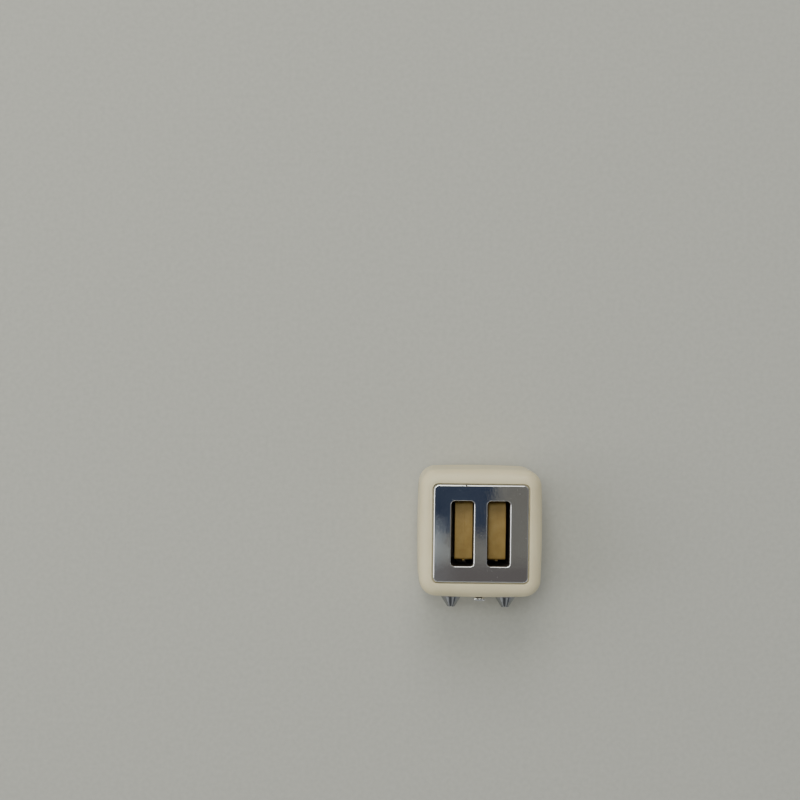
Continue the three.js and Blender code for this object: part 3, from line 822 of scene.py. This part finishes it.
# Injection-moulded ABS in black: low sheen, IOR 1.54, with the grain of its mould, drawn 0.2 mm wide
# so that it shows, and a film of pale dust that gathers in patches of 3 mm.
black_grain_width = 0.2 * mm
black_patch = 3 * mm
black_abs = bare_material("black_abs_moulded")
black_place = node(black_abs, "TexCoord")
black_grain = node(
    black_abs,
    "TexNoise",
    {"Vector": black_place.outputs["Object"], "Scale": 1 / black_grain_width, "Detail": 3},
)
black_dust = node(
    black_abs, "TexNoise", {"Vector": black_place.outputs["Object"], "Scale": 1 / black_patch, "Detail": 6}
)
black_tone = node(black_abs, "ValToRGB", {"Fac": black_dust.outputs["Fac"]})
stops(black_tone, (0.35, "332f2b"), (0.75, "45403b"))
black_sheen = node(
    black_abs, "MapRange", {"Value": black_dust.outputs["Fac"], "To Min": 0.38, "To Max": 0.6}
)
black_bump = node(
    black_abs, "Bump", {"Height": black_grain.outputs["Fac"], "Strength": 0.3, "Distance": 0.01 * mm}
)
black_shader = node(
    black_abs,
    "BsdfPrincipled",
    {
        "Base Color": black_tone.outputs["Color"],
        "Roughness": black_sheen.outputs["Result"],
        "IOR": 1.54,
        "Normal": black_bump.outputs["Normal"],
    },
)
node(black_abs, "OutputMaterial", {"Surface": black_shader.outputs["BSDF"]})
# Painted shade: the bare black sides darken the gap round the plate.
dress(core, black_abs, "black_abs", "root")

# Liner: black ABS wells that keep the toast apart and hide the works. It stands on the base, its
# flange under the shell's ledge. Only the inside of its two wells shows, and below it the carriage
# that the toast stands on. Both are drawn paler than black ABS, as painted light down in the deep slots.
def coat(name, material):
    """Gives a solid of the frame its material."""
    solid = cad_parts[name]
    solid.data.materials.clear()
    solid.data.materials.append(material)
    return solid


# Painted light: a paler copy of the black ABS for the wells and the carriage.
abs_painted_lighter = black_abs.copy()
abs_painted_lighter.name = "black_abs_painted_lighter"
stops(abs_painted_lighter.node_tree.nodes[black_tone.name], (0.35, "524a45"), (0.75, "6d645d"))
for name in ("slot_liner", "carriage"):
    coat(name, abs_painted_lighter)

# Toast: two slices moulded in tan plastic, each in a two-part mould that left a fine line round the
# middle of its crust and, at the front end, the stub of the gate. Their faces are pitted like crumb.
# They stand loose on the carriage, with the squarer shoulder to the front.
toast_round = 0.14 * mm
toast_back_shoulder = 1.5 * mm
toast_front_shoulder = 0.6 * mm
toast_foot = 1.3 * mm
toast_waist = 0.4 * mm
toast_crown = 0.35 * mm
waist_share = 0.55
lobe_share = 0.72
parting_height = 0.012 * mm
parting_width = 0.07 * mm
gate_radius = 0.32 * mm
gate_reach = 0.3 * mm
gate_drop = 0.95 * mm
gate_root = 0.4 * mm
face_rings = 24
crust_places = (-1.4 * mm, -1.0 * mm, -0.6 * mm, -0.3 * mm)
parting_line = ((-1, 0), (-0.5, 0.6), (0, 1), (0.5, 0.6), (1, 0))
waves_per_mm, wave_depth_mm = 0.7, 0.03
pits_per_mm, face_pit_mm, crust_pit_mm = 1.5, 0.07, 0.02


def bend(start, control, end, steps):
    """Points along a quadratic curve, without its last point."""
    points = []
    for i in range(steps):
        t = i / steps
        points.append(
            tuple(
                (1 - t) ** 2 * a + 2 * t * (1 - t) * b + t * t * c for a, b, c in zip(start, control, end)
            )
        )
    return points


def slice_end(half, height, radius):
    """One end of the crust, from its flat foot past the waist and the lobe up to the shoulder."""
    waist = half - toast_waist
    shoulder = height - toast_crown
    waist_z, lobe_z = height * waist_share, height * lobe_share
    parts = [
        ((waist - toast_foot, 0), (waist, 0), (waist, toast_foot), 10),
        ((waist, toast_foot), (waist, (toast_foot + waist_z) / 2), (waist, waist_z), 8),
        ((waist, waist_z), (half, waist_z), (half, lobe_z), 8),
        ((half, lobe_z), (half, (lobe_z + shoulder - radius) / 2), (half, shoulder - radius), 4),
        ((half, shoulder - radius), (half, shoulder), (half - radius, shoulder), 12),
    ]
    return [p for part in parts for p in bend(*part)]


def slice_outline(half, height):
    """The crust seen from the side: its round back, low crown, squarer front and flat foot."""
    back = slice_end(half, height, toast_back_shoulder)
    front = [(-y, z) for y, z in reversed(slice_end(half, height, toast_front_shoulder)[1:])]
    crown_back = (half - toast_back_shoulder, height - toast_crown)
    crown_front = (toast_front_shoulder - half, height - toast_crown)
    crown = bend(crown_back, (0, height + toast_crown), crown_front, 30)
    foot = bend((half - toast_waist - toast_foot, 0), (0, 0), (toast_waist + toast_foot - half, 0), 20)
    return back + crown + [crown_front] + front + [(-y, z) for y, z in foot]


def inward(points, distance):
    """An outline's points moved inwards along their normals."""
    moved = []
    for i, (y, z) in enumerate(points):
        before, after = points[i - 1], points[(i + 1) % len(points)]
        across, up = after[0] - before[0], after[1] - before[1]
        length = math.hypot(across, up)
        moved.append((y - up / length * distance, z + across / length * distance))
    return moved


def toast_slice(name, side):
    """One slice, standing on its foot, as rings from its left face to its right face."""
    low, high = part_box(name)
    middle = (low.x + high.x) / 2
    half_thick = (high.x - low.x) / 2
    front_end = low.y + gate_reach
    half = (high.y - front_end) / 2
    centre_y = (high.y + front_end) / 2
    edge = slice_outline(half, high.z - low.z)
    centre_z = (high.z - low.z) / 2
    levels = []
    for step in range(1, face_rings):
        levels.append((-half_thick, toast_round, step / face_rings))
    for a in sweep(quarter, 6):
        levels.append((-half_thick + toast_round * (1 - math.cos(a)), toast_round * (1 - math.sin(a)), 1))
    for x in crust_places:
        levels.append((x, 0, 1))
    for x, rise in parting_line:
        levels.append((x * parting_width, -rise * parting_height, 1))
    mirrored = [(-x, inset, share) for x, inset, share in reversed(levels[: -len(parting_line)])]
    rings = []
    for x, inset, share in levels + mirrored:
        ring = []
        for y, z in inward(edge, inset):
            ring.append((middle + x, centre_y + y * share, low.z + centre_z + (z - centre_z) * share))
        rings.append(ring)
    piece = skin(name + "_slice", rings)
    wave_shift, pit_shift = Vector((side * 31, 7, 3)), Vector((side * 11, 0, 5))
    for vertex in piece.data.vertices:
        place = vertex.co / mm
        waves = noise.fractal(place * waves_per_mm + wave_shift, 0.8, 2.1, 2)
        pits = max(0.0, noise.noise(place * pits_per_mm + pit_shift) - 0.2)
        on_face = abs(abs(vertex.co.x - middle) - half_thick) < 0.02 * mm
        pit_mm = face_pit_mm if on_face else crust_pit_mm
        sink = (wave_depth_mm * abs(waves) + pit_mm * pits) * mm
        vertex.co -= vertex.normal * sink
    gate_profile = [
        (gate_radius, -gate_root),
        (gate_radius, gate_reach * 0.55),
        (gate_radius * 0.8, gate_reach * 0.9),
        (gate_radius * 0.35, gate_reach),
        (gate_radius * 0.1, gate_reach * 0.97),
    ]
    gate = turned("gate_tool", gate_profile, (middle, front_end, high.z - gate_drop), "front", sides=20)
    cut(piece, gate, "UNION")
    return smooth(piece, 50)


# Injection-moulded plastic in a toasted tan: low sheen, IOR 1.5. The crumb is mottled over 1.8 mm,
# pitted at 0.3 mm and grained at 0.15 mm, and the gate's broken end is painted pale, partly as stress
# whitening and partly as painted light.
crumb_mottle = 1.8 * mm
crumb_pit = 0.3 * mm
crumb_grain = 0.15 * mm
toast_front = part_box("toast_left")[0].y + gate_reach
tan_plastic = bare_material("toast_tan_moulded")
tan_place = node(tan_plastic, "TexCoord")
tan_at = tan_place.outputs["Object"]
tan_mottle = node(tan_plastic, "TexNoise", {"Vector": tan_at, "Scale": 1 / crumb_mottle, "Detail": 5})
tan_tone = node(tan_plastic, "ValToRGB", {"Fac": tan_mottle.outputs["Fac"]})
stops(tan_tone, (0.3, "8b7037"), (0.5, "93783d"), (0.72, "9b8147"))
tan_split = node(tan_plastic, "SeparateXYZ", {"Vector": tan_at})
# Painted light, partly stress whitening: the gate's tip is painted pale.
tan_gate_pale_and_lit = node(
    tan_plastic,
    "MapRange",
    {
        "Value": tan_split.outputs["Y"],
        "From Min": toast_front - 0.6 * gate_reach,
        "From Max": toast_front - gate_reach,
    },
)
tan_colour = node(
    tan_plastic,
    "Mix",
    {0: tan_gate_pale_and_lit.outputs["Result"], 6: tan_tone.outputs["Color"], 7: linear("cfc39d")},
    data_type="RGBA",
)
tan_pits = node(tan_plastic, "TexVoronoi", {"Vector": tan_at, "Scale": 1 / crumb_pit})
tan_fine = node(tan_plastic, "TexNoise", {"Vector": tan_at, "Scale": 1 / crumb_grain, "Detail": 4})
tan_pit_bump = node(
    tan_plastic, "Bump", {"Height": tan_pits.outputs["Distance"], "Strength": 0.45, "Distance": 0.05 * mm}
)
tan_bump = node(
    tan_plastic, "Bump",
    {"Height": tan_fine.outputs["Fac"], "Strength": 0.3, "Distance": 0.02 * mm,
     "Normal": tan_pit_bump.outputs["Normal"]},
)
tan_shader = node(
    tan_plastic,
    "BsdfPrincipled",
    {
        "Base Color": tan_colour.outputs[2],
        "Roughness": 0.58,
        "IOR": 1.5,
        "Subsurface Weight": 0.1,
        "Subsurface Radius": (1.0, 0.6, 0.25),
        "Subsurface Scale": 0.5 * mm,
        "Normal": tan_bump.outputs["Normal"],
    },
)
node(tan_plastic, "OutputMaterial", {"Surface": tan_shader.outputs["BSDF"]})
for name, side in (("toast_left", -1), ("toast_right", 1)):
    dress(toast_slice(name, side), tan_plastic, "toast_plastic", name, name)

# Lever handle: a small plated block pushed on the carriage's tab, its front crowned across the width
# so that a fingertip or a pin finds it.
lever_middle_x = (lever_high.x + lever_low.x) / 2
lever_half = (lever_high.x - lever_low.x) / 2
lever_round = 0.3 * mm
lever_crown = 0.12 * mm
lever_least_round = 0.02 * mm
lever_steps = 6


def lever_ring(x, inset):
    """The handle's section at one place across its width, shrunk by an inset near its ends."""
    radius = max(lever_round - inset, lever_least_round)
    front = lever_low.y + lever_crown * (x / lever_half) ** 2 + inset
    back, bottom, top = lever_high.y - inset, lever_low.z + inset, lever_high.z - inset
    points = rounded(front, back, bottom, top, radius, lever_steps)
    return [(lever_middle_x + x, y, z) for y, z in points]


lever_places = []
for a in sweep(quarter, lever_steps)[:-1]:
    lever_places.append((lever_round * (1 - math.cos(a)) - lever_half, lever_round * (1 - math.sin(a))))
lever_places += [((lever_half - lever_round) * share, 0) for share in (-1, -0.75, -0.5, -0.25)]
lever_places += [(0, 0)] + [(-x, inset) for x, inset in reversed(lever_places)]
lever = smooth(skin("lever_block", [lever_ring(x, inset) for x, inset in lever_places]), 40)
dress(lever, plated, "bright_plating", "lever", "lever_handle")

# Lift spring: steel wire wound in open coils round the base's post, its end coils closed. The lever
# squeezes it from 9.6 to 5.6 mm.
spring_low, spring_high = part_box("lift_spring")
wire = 0.15 * mm
coil_radius = (spring_high.x - spring_low.x) / 2 - wire
coil_centre = Vector(((spring_low.x + spring_high.x) / 2, (spring_low.y + spring_high.y) / 2, 0))
open_turns = 8
end_turns = 1.2
steps_per_turn = 28
wire_sides = 8
spring_rise = spring_high.z - spring_low.z - 2 * wire
closed_rise = 2 * wire * end_turns
turns = open_turns + 2 * end_turns


def spring_height(turn):
    """The wire's height above the lower end after so many turns."""
    if turn < end_turns:
        return 2 * wire * turn
    if turn > turns - end_turns:
        return spring_rise - 2 * wire * (turns - turn)
    return closed_rise + (spring_rise - 2 * closed_rise) * (turn - end_turns) / open_turns


spring_rings = []
for i in range(round(turns * steps_per_turn) + 1):
    turn = i / steps_per_turn
    a = 2 * math.pi * turn
    outwards = Vector((math.cos(a), math.sin(a), 0))
    at = coil_centre + outwards * coil_radius + Vector((0, 0, spring_low.z + wire + spring_height(turn)))
    ring = []
    for j in range(wire_sides):
        b = 2 * math.pi * j / wire_sides
        ring.append(tuple(at + outwards * wire * math.cos(b) + Vector((0, 0, wire * math.sin(b)))))
    spring_rings.append(ring)
spring = smooth(skin("coil_spring", spring_rings), 60)

# Bare drawn steel: bright grey, mottled over 0.4 mm where oil dulls it a little.
steel_mottle = 0.4 * mm
steel = bare_material("bare_steel")
steel_place = node(steel, "TexCoord")
steel_wear = node(
    steel, "TexNoise", {"Vector": steel_place.outputs["Object"], "Scale": 1 / steel_mottle, "Detail": 4}
)
steel_sheen = node(
    steel, "MapRange", {"Value": steel_wear.outputs["Fac"], "To Min": 0.22, "To Max": 0.42}
)
steel_bump = node(
    steel, "Bump", {"Height": steel_wear.outputs["Fac"], "Strength": 0.2, "Distance": 0.004 * mm}
)
steel_shader = node(
    steel,
    "BsdfPrincipled",
    {
        "Base Color": linear("b4b5b7"),
        "Metallic": 1,
        "Roughness": steel_sheen.outputs["Result"],
        "Normal": steel_bump.outputs["Normal"],
    },
)
node(steel, "OutputMaterial", {"Surface": steel_shader.outputs["BSDF"]})
dress(spring, steel, "spring_steel", "root", "lift_spring")
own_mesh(spring)

# Knobs: plated, each a skirt and a tapered grip with a pointer groove in its tip. Their plating is drawn
# a shade darker than the plate's, as painted shade for the dark surroundings that they mirror. The stem
# goes through the shell, and a steel ring on it keeps it there.
knob_stand_off = 0.2 * mm
knob_back = front_y - knob_stand_off
skirt_radius = 2.6 * mm
skirt_length = 0.45 * mm
skirt_round = 0.15 * mm
flare = (2.17 * mm, 0.93 * mm)
waist = (1.88 * mm, 1.42 * mm)
taper = (1.43 * mm, 2.09 * mm)
tip_radius = 0.98 * mm
tip_round = 0.15 * mm
stem_radius = 0.8 * mm
stem_chamfer = 0.1 * mm
pole = 0.02 * mm
pointer_width = 0.3 * mm
pointer_depth = 0.2 * mm
# Painted shade: the knobs' chrome is a darker copy of the plate's.
knob_plating_painted_darker = plated.copy()
knob_plating_painted_darker.name = "chrome_painted_darker"
knob_plating_painted_darker.node_tree.nodes[plated_shader.name].inputs["Base Color"].default_value = linear("909296")
for name in ("knob_left", "knob_right"):
    low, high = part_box(name)
    centre = Vector(((low.x + high.x) / 2, knob_back, (low.z + high.z) / 2))
    length = knob_back - low.y
    stem = high.y - knob_back
    profile = [(pole, -stem), (stem_radius - stem_chamfer, -stem), (stem_radius, stem_chamfer - stem)]
    profile += [(stem_radius, 0)] + rounded_foot(skirt_radius, skirt_round, 5)
    profile += rounded_top(skirt_radius, skirt_length, skirt_round, 5)
    profile += bend((skirt_radius - skirt_round, skirt_length), flare, waist, 10)[1:]
    profile += bend(waist, taper, (tip_radius, length - tip_round), 10)
    profile += rounded_top(tip_radius, length, tip_round, 5) + [(pole, length)]
    knob = turned(name + "_cap", profile, centre, "front", sides=72)
    pointer_low = (centre.x - pointer_width / 2, low.y - mm, centre.z)
    pointer_high = (centre.x + pointer_width / 2, low.y + pointer_depth, centre.z + skirt_radius)
    cut(knob, block("pointer_tool", pointer_low, pointer_high))
    smooth(knob, 30)
    dress(knob, knob_plating_painted_darker, "bright_plating", name, name)
for name in ("knob_clip_left", "knob_clip_right"):
    coat(name, steel)

# Base: black ABS, a loose fit inside the shell's foot, with counterbored screw holes and a hole for
# the peg of each foot. The spring's post and the ribs round the liner stand on it.
smooth(coat("base_plate", black_abs), 30)

# Screws: zinc-plated self-tappers with a low round head and a cross recess, driven in just below
# flush. Zinc as thin as this looks like the spring's bare steel.
head_radius = 1.2 * mm
head_height = 0.55 * mm
head_round = 0.3 * mm
shank_radius = 0.6 * mm
thread_turns = 10
thread_depth = 0.12 * mm
point_radius = 0.05 * mm
cross_arm = 0.6 * mm
cross_half = 0.175 * mm
cross_depth = 0.3 * mm
for name in [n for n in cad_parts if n.startswith("base_screw")]:
    low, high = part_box(name)
    x, y = (low.x + high.x) / 2, (low.y + high.y) / 2
    profile = [(pole, 0)] + rounded_foot(head_radius, head_round, 6)
    profile += [(head_radius, head_height), (shank_radius, head_height)]
    thread = high.z - low.z - head_height
    for i in range(thread_turns):
        z = head_height + thread * (i + 0.5) / (thread_turns + 1)
        crest = z + thread / (2 * thread_turns + 2)
        profile += [(shank_radius - thread_depth, z), (shank_radius, crest)]
    profile += [(point_radius, high.z - low.z)]
    screw = turned(name + "_zinc", profile, (x, y, low.z), "up", sides=40)
    for wide, deep in ((cross_arm, cross_half), (cross_half, cross_arm)):
        drive_low = (x - wide, y - deep, low.z - mm)
        cut(screw, block("drive_tool", drive_low, (x + wide, y + deep, low.z + cross_depth)))
    dress(smooth(screw, 30), steel, "screw_steel", "root", name)

# Feet: moulded buttons of dark rubber, each with a peg pressed into the base. Rubber is nearly matt,
# and it is worn a little grey in patches of 0.5 mm.
rubber_patch = 0.5 * mm
rubber = bare_material("foot_rubber_moulded")
rubber_place = node(rubber, "TexCoord")
rubber_wear = node(
    rubber, "TexNoise", {"Vector": rubber_place.outputs["Object"], "Scale": 1 / rubber_patch, "Detail": 5}
)
rubber_tone = node(rubber, "ValToRGB", {"Fac": rubber_wear.outputs["Fac"]})
stops(rubber_tone, (0.35, "262523"), (0.7, "383633"))
rubber_bump = node(
    rubber, "Bump", {"Height": rubber_wear.outputs["Fac"], "Strength": 0.4, "Distance": 0.02 * mm}
)
rubber_shader = node(
    rubber,
    "BsdfPrincipled",
    {
        "Base Color": rubber_tone.outputs["Color"],
        "Roughness": 0.82,
        "IOR": 1.52,
        "Normal": rubber_bump.outputs["Normal"],
    },
)
node(rubber, "OutputMaterial", {"Surface": rubber_shader.outputs["BSDF"]})
foot_radius = 1.7 * mm
foot_height = 1 * mm
foot_round = 0.25 * mm
foot_taper = 0.15 * mm
peg_radius = 0.6 * mm
for name in [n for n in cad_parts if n.startswith("foot_")]:
    low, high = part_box(name)
    profile = [(pole, 0)] + rounded_foot(foot_radius - foot_taper, foot_round, 6)
    profile += [(foot_radius, foot_height), (peg_radius, foot_height)]
    profile += [(peg_radius, high.z - low.z), (pole, high.z - low.z)]
    place = ((low.x + high.x) / 2, (low.y + high.y) / 2, low.z)
    button = turned(name + "_button", profile, place, "up", sides=48)
    dress(smooth(button, 35), rubber, "foot_rubber", "root", name)
